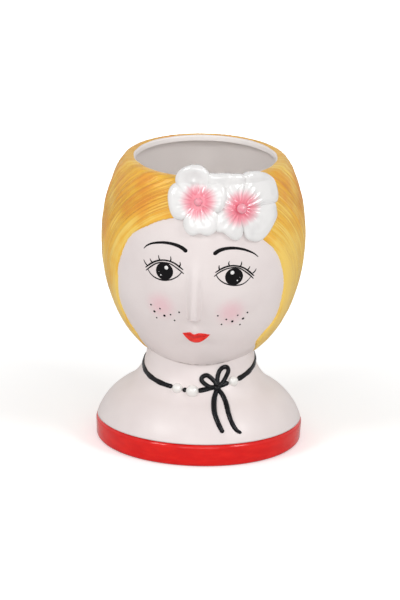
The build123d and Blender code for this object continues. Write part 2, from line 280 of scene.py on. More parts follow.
plug_rubber, plug_shader, plug_place = glaze("plug_rubber", 0.55, 0.0)
feed(plug_shader, "Base Color", mottle(plug_place, 2.5).colours(plug_grey, plug_pale_grey))
dimple(plug_shader, mottle(plug_place, 0.6), 0.05)

plug_foot = plug_low.z / MILLIMETRE
plug_top = plug_high.z / MILLIMETRE
plug_shelf = plug_foot + plug_flange_thickness
plug_profile = (
    [(0.0, plug_foot)]
    + rounded((plug_flange_radius - plug_round, plug_foot + plug_round), plug_round, -90, 0, 6)
    + [(plug_flange_radius, plug_shelf), (plug_stem_radius, plug_shelf)]
    + rounded((plug_stem_radius - plug_round, plug_top - plug_round), plug_round, 0, 90, 6)
    + [(0.0, plug_top)]
)


def solid_of_turning(name, profile, turns, material):
    """A piece turned from an open profile whose two ends lie on the upright axis."""
    body = thrown(profile[1:-1], turns)
    columns = len(turns)
    faces = ring_faces(len(profile) - 2, columns, False, True)
    points = np.vstack([body, [(0, 0, profile[0][1]), (0, 0, profile[-1][1])]])
    foot, top = len(points) - 2, len(points) - 1
    last = (len(profile) - 3) * columns
    for column in range(columns):
        after = (column + 1) % columns
        faces.append((foot, after, column))
        faces.append((top, last + column, last + after))
    return as_piece(name, points, faces, material)


drain_plug = solid_of_turning("rubber_drain_plug", plug_profile, band_turns[::3], plug_rubber)
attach(drain_plug, "plug")
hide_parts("drain_plug")

# Bust: neck and sloping shoulders, slip-cast hollow in white earthenware and dipped in a
# warm white gloss glaze. It stands on the pan's wall and carries the head on its neck.
neck_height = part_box("bust")[1].z / MILLIMETRE
neck_radius = 37.0
shoulder_radius = 70.4
shoulder_lean = math.radians(19)
fold = (52.6, 37.8)
skin_white = (0.80, 0.725, 0.71)
skin_shade = (0.76, 0.68, 0.668)
skin_fleck = (0.72, 0.62, 0.62)
fleck_size = 1.1
fleck_strength = 0.35
blush_pink = (0.82, 0.40, 0.47)
blush_radius = 11.0
blush_strength = 0.50
blush_places = [(-25.2, -59.5, 110.2), (23.6, -59.5, 107.2)]


def tangent_arc(start, heading, end, count):
    """Points of the arc that leaves start along heading and reaches end, and its last heading."""
    start, end = np.array(start, float), np.array(end, float)
    heading = np.array(heading, float) / np.hypot(*heading)
    across = np.array([-heading[1], heading[0]])
    chord = end - start
    bend = 2 * (chord @ across) / (chord @ chord)
    centre = start + across / bend
    spoke = start - centre
    swept = 2 * math.atan2(chord @ across, chord @ heading)
    points = []
    for share in np.linspace(0, 1, count):
        c, s = math.cos(swept * share), math.sin(swept * share)
        points.append(centre + np.array([c * spoke[0] - s * spoke[1], s * spoke[0] + c * spoke[1]]))
    c, s = math.cos(swept), math.sin(swept)
    return points, (c * heading[0] - s * heading[1], s * heading[0] + c * heading[1])


shoulder_heading = (-math.sin(shoulder_lean), math.cos(shoulder_lean))
lower_arc, fold_heading = tangent_arc((shoulder_radius, band_height), shoulder_heading, fold, 40)
upper_arc, _ = tangent_arc(fold, fold_heading, (neck_radius, neck_height), 40)
bust_outline = np.array(lower_arc + upper_arc[1:])


def bust_radius(height):
    """How far the bust's surface stands from the upright axis at a height."""
    return np.interp(height, bust_outline[:, 1], bust_outline[:, 0])


def skin_glaze(name, with_blush):
    """Warm white glaze that pools a little darker, with fine flecks; on the head, blush and an inside
    painted lighter as painted light.
    """
    material, shader, place = glaze(name, 0.40, 0.0)
    cloud = mottle(place, 26.0, 3.0)
    colour = cloud.step(0.3, 0.75).colours(skin_white, skin_shade)
    fleck = mottle(place, fleck_size, 1.0).step(0.71, 0.80) * fleck_strength
    colour = fleck.colours(colour, skin_fleck)
    if with_blush:
        for spot in blush_places:
            away = place.vectors("DISTANCE", spot, output="Value")
            away = away + mottle(place, 1.6) * 3.0 - 1.5
            strength = away.step(blush_radius * 1.3, blush_radius * 0.1) * blush_strength
            colour = strength.colours(colour, blush_pink)
        above = place.axis("Z") + place.marked("chin_sag") - seam_height
        seam = (above + 0.6 - 1.2 * mottle(place, 7.0)).maths("ABSOLUTE").step(0.75, 0.1)
        seam = seam * mottle(place, 4.0, 3.0).step(0.42, 0.62) * 0.75
        colour = seam.colours(colour, seam_brown)
        # The head's inside is painted lighter than its outside, as painted light in the hollow.
        colour = place.marked("inside").colours(colour, inner_painted_light_white)
    feed(shader, "Base Color", colour)
    feed(shader, "Roughness", 0.30 + 0.16 * cloud)
    dimple(shader, mottle(place, 12.0), 0.12)
    return material


bust_glaze = skin_glaze("bust_white_glaze", False)
bust_heights = np.linspace(band_height, neck_height, 60)
bust_outer = [(bust_radius(z), z) for z in bust_heights]
bust_inner = [(bust_radius(z) - wall, z) for z in bust_heights[::-3]]
bust_profile = bust_outer + bust_inner
bust = as_piece(
    "neck_and_shoulders", thrown(bust_profile, band_turns),
    ring_faces(len(bust_profile), len(band_turns), True, True), bust_glaze,
)
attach(bust, "planter")
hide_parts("bust")

# Head: one hollow casting, egg-shaped, closed to a rounded lip round its open crown, lower in
# front. The narrow nose and the eye hollows were in the mould; it is luted to the neck.
rim_height = 203.5
widest = (68.5, 145.0)
cheek = (60.3, 99.8)
rim_radius = 53.7
mouth_radius = 48.2
lip_depth = 4.4
lip_drop = 4.5
lip_shoulder_rise = 3.2
lip_shoulder_run = 3.6
lip_inner_round = 1.2
lip_under_round = 0.8
lip_rows_outside = 4
rim_pivot = rim_radius + 2.0
rim_slope = lip_drop / rim_radius / 2
tilt_start = 158.0
nose_middle = -1.7
nose_top = 148.0
nose_bottom = 102.2
nose_half_width = 4.4
nose_proud = 6.5
nose_rise = 0.9
nose_soft_foot = 1.2
nose_root = 0.14
# The philtrum and the mounds: across, height, half width, half height and rise of each.
philtrum = (-0.6, 96.5, 2.0, 4.0, -0.35)
face_mounds = [
    (-22.5, 136.0, 21, 15, -0.7), (24.7, 134.0, 21, 15, -0.7), (0, 90.5, 15, 9, 0.9),
    (0, 76.5, 17, 9, 0.8),
]
chin_sag = 2.8
chin_sag_turn = math.radians(58)
chin_sag_top = 82.0
chin_over_neck = 0.9

temple_arc, _ = tangent_arc(widest, (0, 1), (rim_radius, rim_height), 60)
cheek_arc, jaw_heading = tangent_arc(widest, (0, -1), cheek, 50)
jaw_arc, _ = tangent_arc(cheek, jaw_heading, (neck_radius, neck_height), 50)
head_outline = np.array(jaw_arc[::-1] + cheek_arc[-2::-1] + temple_arc[1:])


def head_radius(height):
    """How far the plain egg stands from the upright axis at a height."""
    return np.interp(height, head_outline[:, 1], head_outline[:, 0])


def rim_at(turns):
    """Height of the slanting rim at turns from the front."""
    return rim_height - rim_slope * (rim_pivot + mouth_radius * np.cos(turns))


def tilted(heights, turns):
    """Heights that are level at the face and lean with the rim towards the top."""
    share = (heights - tilt_start) / (rim_height - lip_depth - tilt_start)
    return heights + (rim_at(turns) - rim_height) * np.clip(share, 0, 1)


def lip_shoulder(turns, share, over):
    """Radii and heights at shares of the way over the lip's outer round, lifted by over."""
    rim = rim_at(turns)
    corner = head_radius(rim) + over
    radius = (1 - share) ** 2 * (head_radius(rim - lip_shoulder_rise) + over)
    radius = radius + 2 * share * (1 - share) * corner + share ** 2 * (corner - lip_shoulder_run)
    return radius, rim + over - lip_shoulder_rise * (1 - share) ** 2


def bump(distance):
    """1 at distance 0, falling smoothly to 0 at distance 1 and beyond."""
    return np.clip(1 - np.asarray(distance) ** 2, 0, None) ** 2


def ease(value, low, high):
    """0 below low, 1 above high, and smooth between them."""
    share = np.clip((np.asarray(value, float) - low) / (high - low), 0, 1)
    return share * share * (3 - 2 * share)


def face_relief(across, height):
    """How far the face stands out of the plain egg, in millimetres, seen from the front."""
    along = np.clip((nose_top - height) / (nose_top - nose_bottom), 0, 1)
    ridge = nose_proud * (1 - nose_rise + nose_rise * along ** 1.1)
    ridge = ridge * ease(-height, -nose_top - 6, -nose_top + 16)
    under = ease(height, nose_bottom - 0.7, nose_bottom + nose_soft_foot - 0.7)
    side = np.abs(across - nose_middle) / nose_half_width / (1.30 - 0.30 * along)
    relief = ridge * under * (1 - ease(side, 0.30 * along, 1.12))
    root = np.exp(-(side / 2.2) ** 2) * ease(height, nose_bottom - 5, nose_bottom + 9)
    relief = relief + nose_root * ridge * root
    middle, level, half_width, half_height, depth = philtrum
    groove = bump((across - middle) / half_width) * bump((height - level) / half_height)
    relief = relief + depth * groove
    for middle, level, half_width, half_height, depth in face_mounds:
        away = np.hypot((across - middle) / half_width, (height - level) / half_height)
        relief = relief + depth * bump(away)
    return relief


def lifted(across, height, lift, radius, slope):
    """A point in front view on a round surface, lifted off along the surface's normal."""
    depth = np.sqrt(np.clip(radius ** 2 - across ** 2, 1, None))
    length = np.sqrt(1 + slope ** 2)
    share = 1 + lift / radius / length
    return np.stack([across * share, -depth * share, height - lift * slope / length], axis=-1)


def slope_of(radius_at, height):
    """How much a radius grows in a millimetre of height."""
    return radius_at(height + 0.5) - radius_at(height - 0.5)


def skin_point(across, height, lift=0.0):
    """The point of the face at a place in front view, lifted off the skin."""
    radius = head_radius(height) + face_relief(across, height)
    return lifted(across, height, lift, radius, slope_of(head_radius, height))


def mark_points(piece, name, values):
    """Gives each point of a piece a number, or a place, to carry under a name."""
    values = np.asarray(values, np.float32)
    kind, key = ("FLOAT", "value") if values.ndim == 1 else ("FLOAT_VECTOR", "vector")
    piece.data.attributes.new(name, kind, "POINT").data.foreach_set(key, values.ravel())


seam_height = neck_height + 0.5
seam_brown = (0.34, 0.28, 0.26)
# A lighter white for the inside of the head: painted light for the hollow, which gets little lamp
# light.
inner_painted_light_white = (0.96, 0.91, 0.885)
head_glaze = skin_glaze("head_white_glaze", True)
front_turns = np.radians(np.arange(-62, 62.01, 0.5))
back_turns = np.radians(np.arange(64.5, 295.6, 2.5))
head_turns = np.concatenate([front_turns, back_turns])
face_heights = np.concatenate([
    np.arange(neck_height, 98.8, 0.9), np.arange(99.0, 102.6, 0.3), np.arange(103.2, 152.0, 0.9),
    np.arange(153.0, rim_height - lip_depth, 2.5),
])
outer_heights = tilted(face_heights[:, None], head_turns)
outer_radius = head_radius(outer_heights)
chin_turns = np.arctan2(np.sin(head_turns), np.cos(head_turns)) / chin_sag_turn
sag = bump(chin_turns) * (1 - ease(outer_heights, neck_height, chin_sag_top))
outer_heights = outer_heights - chin_sag * sag
outer_radius = outer_radius + chin_over_neck * sag
relief = face_relief(outer_radius * np.sin(head_turns), outer_heights)
outer_radius = outer_radius + np.where(np.cos(head_turns) > 0, relief, 0)
rim_line = rim_at(head_turns)
shoulder_share = np.linspace(0, 1, 10)[:, None]
lip_rows = np.array(
    rounded((mouth_radius + lip_inner_round, -lip_inner_round), lip_inner_round, 90, 180, 7)
    + divided((mouth_radius, -lip_inner_round - 1), (mouth_radius, -lip_depth + lip_under_round), 3)
    + rounded((mouth_radius + lip_under_round, -lip_depth + lip_under_round), lip_under_round,
              180, 270, 5)
)
cavity_share = np.linspace(0, 1, 46)[1:, None]
cavity_heights = (rim_line - lip_depth) * (1 - cavity_share) + neck_height * cavity_share
head_points = np.vstack([
    spun(outer_radius, outer_heights, head_turns),
    spun(*lip_shoulder(head_turns, shoulder_share, 0), head_turns),
    spun(lip_rows[:, :1], lip_rows[:, 1:] + rim_line, head_turns),
    spun(head_radius(cavity_heights) - wall, cavity_heights, head_turns),
])
head_rows = len(head_points) // len(head_turns)
head = as_piece(
    "head_casting", head_points, ring_faces(head_rows, len(head_turns), True, True), head_glaze,
)
outer_count = len(face_heights) + len(shoulder_share) + lip_rows_outside
inside_share = np.where(np.arange(head_rows) < outer_count, 0.0, 1.0)
mark_points(head, "inside", np.repeat(inside_share, len(head_turns)))
mark_points(head, "chin_sag", np.pad(sag.ravel() * chin_sag, (0, len(head_points) - sag.size)))
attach(head, "planter")
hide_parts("head")

# Hair: a raised layer of slip over the casting, combed into strands that fan out from the
# flowers and hang straight at the sides, brushed with yellow and streaked with orange.
hair_proud = 1.5
hair_sunk = 0.8
hair_lip_gap = 3.3
hair_over_lip = 0.3
hair_over_reach = 8.0
comb_depth = 2.2
strand_width = 2.6
parting_turn = math.radians(6)
strand_centre = 62.0
strand_rise = 150.0
strand_reach = math.radians(95)
strand_round = 2.2
cloud_size = 24.0
cloud_strength = 2.3
upper_warmth = 0.47
# The right side of the hair is painted paler and less orange, as a painted sheen.
side_warmth = -0.25
side_painted_sheen = 0.55
hair_yellow = (0.87, 0.49, 0.055)
hair_pale = (0.93, 0.65, 0.15)
hair_orange = (0.83, 0.345, 0.042)
hair_deep = (0.70, 0.235, 0.028)
# The hairline in front view, from the left jaw over the brow to the right jaw.
hairline_places = [
    (-35.0, 65.5), (-38.9, 72.4), (-42.4, 80.6), (-48.9, 91.0), (-54.7, 105.5), (-55.6, 121.4),
    (-54.9, 134.4), (-47.6, 155.1), (-34.2, 166.4), (-18.9, 173.3), (4.2, 176.7), (25.9, 172.4),
    (45.2, 156.0), (53.2, 144.4), (57.1, 126.8), (55.8, 110.6), (51.3, 95.3), (40.2, 80.8),
    (38.5, 72.4), (36.4, 65.5),
]


def smooth_line(points, count):
    """An even run of points on a smooth curve through the given ones."""
    points = np.asarray(points, float)
    padded = np.vstack([2 * points[0] - points[1], points, 2 * points[-1] - points[-2]])
    run = []
    for i in range(1, len(padded) - 2):
        a, b, c, d = padded[i - 1:i + 3]
        for t in np.linspace(0, 1, 12, endpoint=False):
            run.append(0.5 * (2 * b + (c - a) * t + (2 * a - 5 * b + 4 * c - d) * t ** 2
                              + (3 * b - a - 3 * c + d) * t ** 3))
    run = np.array(run + [points[-1]])
    lengths = np.concatenate([[0], np.cumsum(np.linalg.norm(np.diff(run, axis=0), axis=1))])
    even = np.linspace(0, lengths[-1], count)
    return np.stack([np.interp(even, lengths, values) for values in run.T], axis=-1)


hairline = smooth_line(hairline_places, 260)


def beyond_hairline(across, height):
    """Distance in front view from the hairline, above 0 on the hair's side of it."""
    across, height = np.ravel(across), np.ravel(height)
    near = np.hypot(across[:, None] - hairline[:, 0], height[:, None] - hairline[:, 1])
    nearest = near.argmin(axis=1)
    after = hairline[np.minimum(nearest + 1, len(hairline) - 1)]
    before = hairline[np.maximum(nearest - 1, 0)]
    run = after - before
    away = np.stack([across, height], axis=-1) - hairline[nearest]
    side = run[:, 0] * away[:, 1] - run[:, 1] * away[:, 0]
    return np.where(side > 0, 1, -1) * near[np.arange(len(across)), nearest]


def strand_number(turns, heights):
    """Which strand passes a place: level lines fan out from the parting and hang at the sides."""
    sideways = np.abs(np.arctan2(np.sin(turns - parting_turn), np.cos(turns - parting_turn)))
    rise = np.clip(heights - strand_centre, 0, None) / strand_rise
    return ((sideways / strand_reach) ** strand_round + rise ** strand_round) ** (1 / strand_round)


def empty_tree(name, inputs):
    """A new tree of geometry nodes with named inputs, and a wire from each of them."""
    tree = bpy.data.node_groups.new(name, "GeometryNodeTree")
    for label, kind in inputs.items():
        tree.interface.new_socket(label, in_out="INPUT", socket_type=f"NodeSocket{kind}")
    tree.interface.new_socket("Piece", in_out="OUTPUT", socket_type="NodeSocketGeometry")
    start = tree.nodes.new("NodeGroupInput")
    return tree, {label: Wire(tree, start.outputs[label]) for label in inputs}


def squashed(shape, *scale):
    """A shape scaled along its x, y and z."""
    factors = shape.node("ShaderNodeCombineXYZ", dict(enumerate(scale)))
    return shape.node("GeometryNodeTransform", {"Geometry": shape, "Scale": factors})


def close_tree(shape, finish):
    """Ends a tree: the shape smooth, copies made real, the finish set, and the shape led out."""
    shape = shape.node("GeometryNodeSetShadeSmooth", {0: shape})
    shape = shape.node("GeometryNodeRealizeInstances", {0: shape})
    shape = shape.node("GeometryNodeSetMaterial", {"Geometry": shape, "Material": finish})
    shape.node("NodeGroupOutput", {0: shape}, output=None)


def carried(wire, name, kind="FLOAT"):
    """What the points of a piece carry under a name."""
    return wire.node("GeometryNodeInputNamedAttribute", {"Name": name}, data_type=kind)


def worked(piece, tree, sizes):
    """Runs a tree on a piece and keeps the plain mesh that it makes."""
    modifier = piece.modifiers.new(tree.name, "NODES")
    modifier.node_group = tree
    for socket in tree.interface.items_tree:
        if socket.name in sizes:
            modifier[socket.identifier] = sizes[socket.name]
    bpy.context.view_layer.update()
    seen = piece.evaluated_get(bpy.context.evaluated_depsgraph_get())
    mesh = bpy.data.meshes.new_from_object(seen)
    piece.modifiers.clear()
    piece.data = mesh
    return piece


def combed(strand):
    """The comb's marks: soft strands side by side, and the fine lines between them."""
    settings = {"Vector": strand, "Scale": 1.0, "Detail": 1.5, "Roughness": 0.55}
    soft = strand.node("ShaderNodeTexNoise", settings)
    closer = strand.vectors("MULTIPLY", (2.1, 1.3, 1.0))
    return soft, mottle(closer, 1.0)


hair_turns = np.radians(np.arange(0, 359.9, 0.8))
hair_heights = np.linspace(neck_height, rim_height - hair_lip_gap, 165)
turn_grid, height_grid = np.meshgrid(hair_turns, hair_heights)
height_grid = tilted(height_grid, turn_grid)
plain_radius = head_radius(height_grid)
across_grid = plain_radius * np.sin(turn_grid)
clear = beyond_hairline(across_grid, height_grid).reshape(across_grid.shape)
clear = np.where(np.cos(turn_grid) > 0, clear, 60.0)
cover = ease(clear, -0.5, 1.0)
rim_gap = rim_at(turn_grid) - height_grid
lift = hair_proud * (0.70 + 0.30 * ease(clear, 0.5, 6.0)) * ease(rim_gap, 1.5, 8.0) + 0.12
hair_radius = plain_radius - hair_sunk + (lift + hair_sunk) * cover
over_share = np.linspace(0.15, 1, 12)[:, None]
over_radius, over_height = lip_shoulder(hair_turns, over_share, hair_over_lip)
brush_edge = mouth_radius + 1.0 + 0.25 * np.sin(hair_turns * 5 + 1) * np.sin(hair_turns * 13)
end_share = np.array([0.4, 0.8, 1.0, 1.0])[:, None]
end_drop = np.array([0.0, 0.05, 0.3, 0.9])[:, None]
end_radius = over_radius[-1] + (brush_edge - over_radius[-1]) * end_share
hair_inner = tilted(np.linspace(hair_heights[-1], neck_height, 8)[:, None], hair_turns)
hair_points = np.vstack([
    spun(hair_radius, height_grid, turn_grid),
    spun(over_radius, over_height, hair_turns),
    spun(end_radius, over_height[-1] - end_drop, hair_turns),
    spun(head_radius(hair_inner) - hair_sunk * 2, hair_inner, hair_turns),
])
over_count = len(over_share) + len(end_share)
over_path = np.linspace(0.1, 1, over_count)[:, None] * hair_over_reach
turn_grid = np.vstack([turn_grid, np.tile(hair_turns, (over_count, 1))])
path_grid = np.vstack([height_grid, height_grid[-1] + over_path])
strand_grid = strand_number(turn_grid, path_grid)
clear = np.vstack([clear, np.tile(clear[-1], (over_count, 1))])
comb_share = ease(clear, 0.5, 8.0) * np.concatenate([
    np.ones(len(hair_heights)), np.linspace(0.8, 0.0, over_count),
])[:, None]

hair_glaze, hair_shader, hair_place = glaze("hair_yellow_glaze", 0.30, 0.0, 0.35)
from_face = hair_place.marked("from_face")
strands, lines = combed(hair_place.marked("strand_place", "Vector"))
strand_high = hair_place.axis("Z")
upper = strand_high.step(130.0, 190.0) * (1.0 - 0.75 * strand_high.step(190.0, 202.0))
clouds = mottle(hair_place, cloud_size)
# Painted sheen: the right side of the hair is made paler and less orange, standing in for light on
# that side.
right_sheen_side = hair_place.axis("X").step(25.0, 60.0)
warm = (strands - 0.5) * 1.4 + (clouds - 0.5) * cloud_strength
warm = warm + upper * upper_warmth + right_sheen_side * (1.0 - upper) * side_warmth
hair_colour = warm.step(0.10, 0.95).colours(hair_yellow, hair_orange)
pale = (lines - 0.5) * 2.0 + (0.5 - clouds) * cloud_strength
pale = pale + from_face.step(16.0, 0.0) * 0.45 + right_sheen_side * (1.0 - 0.6 * upper) * side_painted_sheen
hair_colour = (pale.step(0.10, 0.85) * 0.85).colours(hair_colour, hair_pale)
grooves = (lines - 0.5).maths("ABSOLUTE").step(0.045, 0.0) * from_face.step(1.0, 7.0)
hair_colour = (grooves * (0.30 + 0.40 * upper)).colours(hair_colour, hair_deep)
feed(hair_shader, "Base Color", hair_colour)
feed(hair_shader, "Roughness", 0.26 + 0.20 * strands)
dimple(hair_shader, 0.6 * lines - 0.5 * grooves, 0.30)

comb_tree, comb = empty_tree("comb", {
    "Cap": "Geometry", "Groove Depth": "Float", "Finish": "Material",
})
comb_soft, comb_fine = combed(carried(comb["Cap"], "strand_place", "FLOAT_VECTOR"))
comb_push = (comb_soft * 0.75 + comb_fine * 0.25 - 0.5) * carried(comb["Cap"], "comb_share")
comb_way = comb_push.node("GeometryNodeInputNormal").scaled(comb_push * comb["Groove Depth"])
comb_cap = comb["Cap"].node("GeometryNodeSetPosition", {"Geometry": comb["Cap"], "Offset": comb_way})
close_tree(comb_cap, comb["Finish"])

hair = as_piece(
    "combed_hair", hair_points,
    ring_faces(len(hair_points) // len(hair_turns), len(hair_turns), True, True), hair_glaze,
)
inside = np.zeros(len(hair_points) - strand_grid.size)
side_grid = np.where(np.sin(turn_grid - parting_turn) < 0, 40.0, 0.0)
run_grid = path_grid * 0.014 - np.cos(turn_grid - parting_turn) * 0.35
strand_place = np.stack([
    strand_grid * strand_reach * widest[0] / strand_width, run_grid, side_grid,
], axis=-1).reshape(-1, 3)
mark_points(hair, "strand_place", np.vstack([strand_place, np.zeros((len(inside), 3))]))
mark_points(hair, "from_face", np.concatenate([clear.ravel(), inside]))
mark_points(hair, "comb_share", np.concatenate([comb_share.ravel(), inside]))
worked(hair, comb_tree, {"Groove Depth": comb_depth * MILLIMETRE, "Finish": hair_glaze})
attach(hair, "planter")
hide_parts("hair")

# Lips: a small cupid's bow modelled in low relief on the casting, filled in with red
# overglaze by brush.
lip_proud = 1.15
lip_sunk = 0.6
lip_corner = 0.4
lip_full_height = 8.0
lip_parting = 0.60
lip_parting_depth = 0.28
upper_lip_places = [
    (-9.7, 91.0), (-7.2, 91.6), (-4.4, 92.2), (-1.7, 90.6), (1.2, 91.8), (4.9, 91.6), (9.2, 90.6),
]
lower_lip_places = [
    (-9.7, 91.0), (-7.0, 87.2), (-4.3, 84.5), (-0.6, 83.4), (2.8, 84.3), (6.2, 87.1), (9.2, 90.6),
]
lip_red = (0.93, 0.026, 0.012)
lip_dark = (0.62, 0.012, 0.010)

lip_glaze, lip_shader, lip_place = glaze("lip_red_glaze", 0.14, 0.0, 0.32)
lip_tone = mottle(lip_place, 3.0).step(0.35, 0.7) * 0.5 + lip_place.marked("upper_lip") * 0.6
feed(lip_shader, "Base Color", lip_tone.colours(lip_red, lip_dark))


def grid_shell(name, front, back, material):
    """A closed piece from two grids of points, front and back, joined round their edges."""
    rows, columns = front.shape[:2]
    size = rows * columns
    numbers = np.arange(size).reshape(rows, columns)
    faces = ring_faces(rows, columns, False, False)
    faces += [tuple(size + corner for corner in reversed(face)) for face in faces]
    edge = [*numbers[0], *numbers[1:, -1], *numbers[-1, -2::-1], *numbers[-2:0:-1, 0]]
    for here, there in zip(edge, edge[1:] + edge[:1]):
        faces.append((there, here, size + here, size + there))
    return as_piece(name, np.vstack([front.reshape(-1, 3), back.reshape(-1, 3)]), faces, material)


lip_across = np.linspace(upper_lip_places[0][0], upper_lip_places[-1][0], 70)
upper_lip = smooth_line(upper_lip_places, 120)
lower_lip = smooth_line(lower_lip_places, 120)
lip_top = np.interp(lip_across, upper_lip[:, 0], upper_lip[:, 1])
lip_foot = np.interp(lip_across, lower_lip[:, 0], lower_lip[:, 1])
lip_foot = np.minimum(lip_foot, lip_top - lip_corner)
lip_share = np.linspace(0, 1, 22)[:, None]
lip_height = lip_foot + (lip_top - lip_foot) * lip_share
lip_width = np.broadcast_to(lip_across, lip_height.shape)
fullness = np.clip((lip_top - lip_foot) / lip_full_height, 0, 1) ** 0.5
lip_swell = np.sqrt(np.clip(1 - (2 * lip_share - 1) ** 4, 0, 1)) * fullness
parted = lip_parting_depth * np.exp(-((lip_share - lip_parting) / 0.07) ** 2) * fullness
lips = grid_shell(
    "painted_lips",
    skin_point(lip_width, lip_height, lip_proud * (lip_swell - parted) - 0.12),
    skin_point(lip_width, lip_height, -lip_sunk + 0 * lip_height), lip_glaze,
)
upper_share = np.broadcast_to(ease(lip_share, 0.52, 0.66), lip_height.shape).ravel()
mark_points(lips, "upper_lip", np.concatenate([upper_share, upper_share]))
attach(lips, "planter")
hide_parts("lips")

# Face painting: brows, lids, lashes, irises and freckles in black overglaze enamel, put on
# with a fine brush and fired, with small dots of white enamel for the glints in the eyes.
enamel_thick = 0.16
enamel_sunk = 0.35
enamel_black = (0.004, 0.0035, 0.004)
enamel_soft_black = (0.010, 0.009, 0.010)
glint_white = (0.86, 0.85, 0.84)
glint_grey = (0.80, 0.79, 0.78)
# Painted lines run through places given as across, height and width. All lashes have the
# same three widths, from root to tip.
brows = {
    "left": [
        (-37.4, 149.9, 0.35), (-35.2, 152.5, 0.65), (-31.3, 154.8, 0.9), (-25.0, 156.4, 1.15),
        (-19.2, 156.6, 1.35), (-14.1, 155.7, 1.55), (-10.2, 154.0, 1.75), (-7.3, 151.7, 1.8),
    ],
    "right": [
        (40.4, 146.7, 0.35), (38.1, 149.1, 0.6), (35.0, 151.2, 0.85), (30.1, 153.4, 1.1),
        (24.6, 154.6, 1.3), (19.0, 154.6, 1.5), (14.1, 153.2, 1.75), (10.6, 150.6, 1.85),
    ],
}
lid_lines = {
    "left": {
        "lid": [
            (-35.9, 136.8, 0.5), (-32.3, 140.2, 0.8), (-28.4, 142.8, 0.8), (-24.0, 144.2, 0.75),
            (-19.5, 144.2, 0.75), (-15.6, 143.0, 0.75), (-12.4, 141.0, 0.8), (-9.5, 138.9, 0.45),
        ],
        "crease": [
            (-35.5, 135.1, 0.4), (-32.6, 138.1, 0.65), (-29.0, 141.1, 0.65), (-25.2, 142.7, 0.6),
            (-20.7, 143.0, 0.6), (-17.5, 142.2, 0.6), (-13.7, 140.0, 0.6), (-11.1, 138.1, 0.6),
            (-9.0, 136.5, 0.35),
        ],
        "lower_lid": [
            (-34.1, 136.1, 0.3), (-32.5, 133.5, 0.4), (-29.8, 131.3, 0.5), (-26.3, 130.1, 0.55),
            (-22.4, 129.9, 0.55), (-17.9, 131.0, 0.5), (-14.2, 133.2, 0.45), (-12.0, 135.4, 0.4),
            (-10.4, 137.6, 0.3),
        ],
    },
    "right": {
        "lid": [
            (12.0, 137.7, 0.45), (15.4, 140.0, 0.8), (19.4, 141.8, 0.8), (23.7, 142.3, 0.75),
            (28.0, 141.5, 0.75), (31.7, 139.6, 0.75), (35.4, 136.3, 0.85), (38.0, 133.4, 0.5),
        ],
        "crease": [
            (11.3, 135.3, 0.35), (14.5, 138.1, 0.6), (18.2, 140.1, 0.6), (21.2, 141.0, 0.6),
            (24.9, 141.3, 0.6), (28.6, 140.3, 0.6), (32.3, 137.5, 0.65), (35.5, 134.5, 0.65),
            (37.6, 131.9, 0.4),
        ],
        "lower_lid": [
            (12.7, 136.1, 0.3), (14.6, 133.1, 0.4), (17.8, 130.3, 0.5), (21.5, 128.7, 0.55),
            (25.2, 127.9, 0.55), (29.5, 128.1, 0.5), (32.8, 129.8, 0.4), (36.1, 133.5, 0.3),
        ],
    },
}
lashes = {
    "left": [
        [(-34.6, 138.6), (-36.1, 140.2), (-37.2, 142.3)],
        [(-31.1, 141.3), (-32.0, 142.4), (-32.8, 143.9)],
        [(-25.8, 143.9), (-26.5, 145.4), (-26.9, 147.2)],
        [(-18.8, 143.8), (-18.2, 145.6), (-18.5, 147.6)],
        [(-12.3, 140.9), (-11.7, 142.5), (-11.9, 144.4)],
    ],
    "right": [
        [(14.9, 139.9), (14.5, 141.4), (14.6, 143.1)],
        [(21.5, 142.0), (20.9, 143.9), (21.3, 145.7)],
        [(28.5, 141.2), (29.3, 142.7), (29.5, 144.9)],
        [(33.6, 138.5), (34.4, 139.4), (35.1, 140.9)],
        [(36.9, 135.5), (38.3, 136.7), (39.3, 138.6)],
    ],
}
lash_widths = [1.05, 0.9, 0.5]
brow_swell = 1.55
lid_swell = 1.55
lower_lid_swell = 1.9
crease_drop = 0.4
freckle_swell = 1.35
enamel_flatness = 0.30
dot_flatness = 0.40
# Irises: across, height, half width and half height. Dots: across, height and half width.
iris_sides = 48
irises = {"left_iris": (-22.5, 136.4, 6.0, 6.3), "right_iris": (24.7, 134.3, 6.0, 6.2)}
glints = [
    (-21.2, 139.2, 1.45), (-24.9, 133.4, 0.62), (-26.3, 135.7, 0.42), (23.5, 137.3, 1.45),
    (26.9, 131.4, 0.66), (28.6, 133.4, 0.42),
]
freckles = [
    (-31.6, 109.9, 0.5), (-29.2, 105.1, 0.66), (-25.3, 108.1, 0.48), (-27.6, 100.4, 0.45),
    (-22.2, 103.1, 0.68), (-17.9, 104.6, 0.46), (-15.1, 100.4, 0.46), (-12.0, 107.3, 0.5),
    (14.3, 105.6, 0.48), (20.0, 102.4, 0.5), (24.0, 100.5, 0.68), (16.8, 98.6, 0.47),
    (27.6, 105.0, 0.46), (31.1, 101.9, 0.68), (29.1, 97.3, 0.48), (34.0, 106.3, 0.5),
]

black_enamel, black_shader, black_place = glaze("black_enamel", 0.30, 0.0, 0.08)
feed(black_shader, "Base Color", mottle(black_place, 2.0).colours(enamel_black, enamel_soft_black))
white_enamel, white_shader, white_place = glaze("white_enamel", 0.25, 0.6)
feed(white_shader, "Base Color", mottle(white_place, 1.0).colours(glint_white, glint_grey))

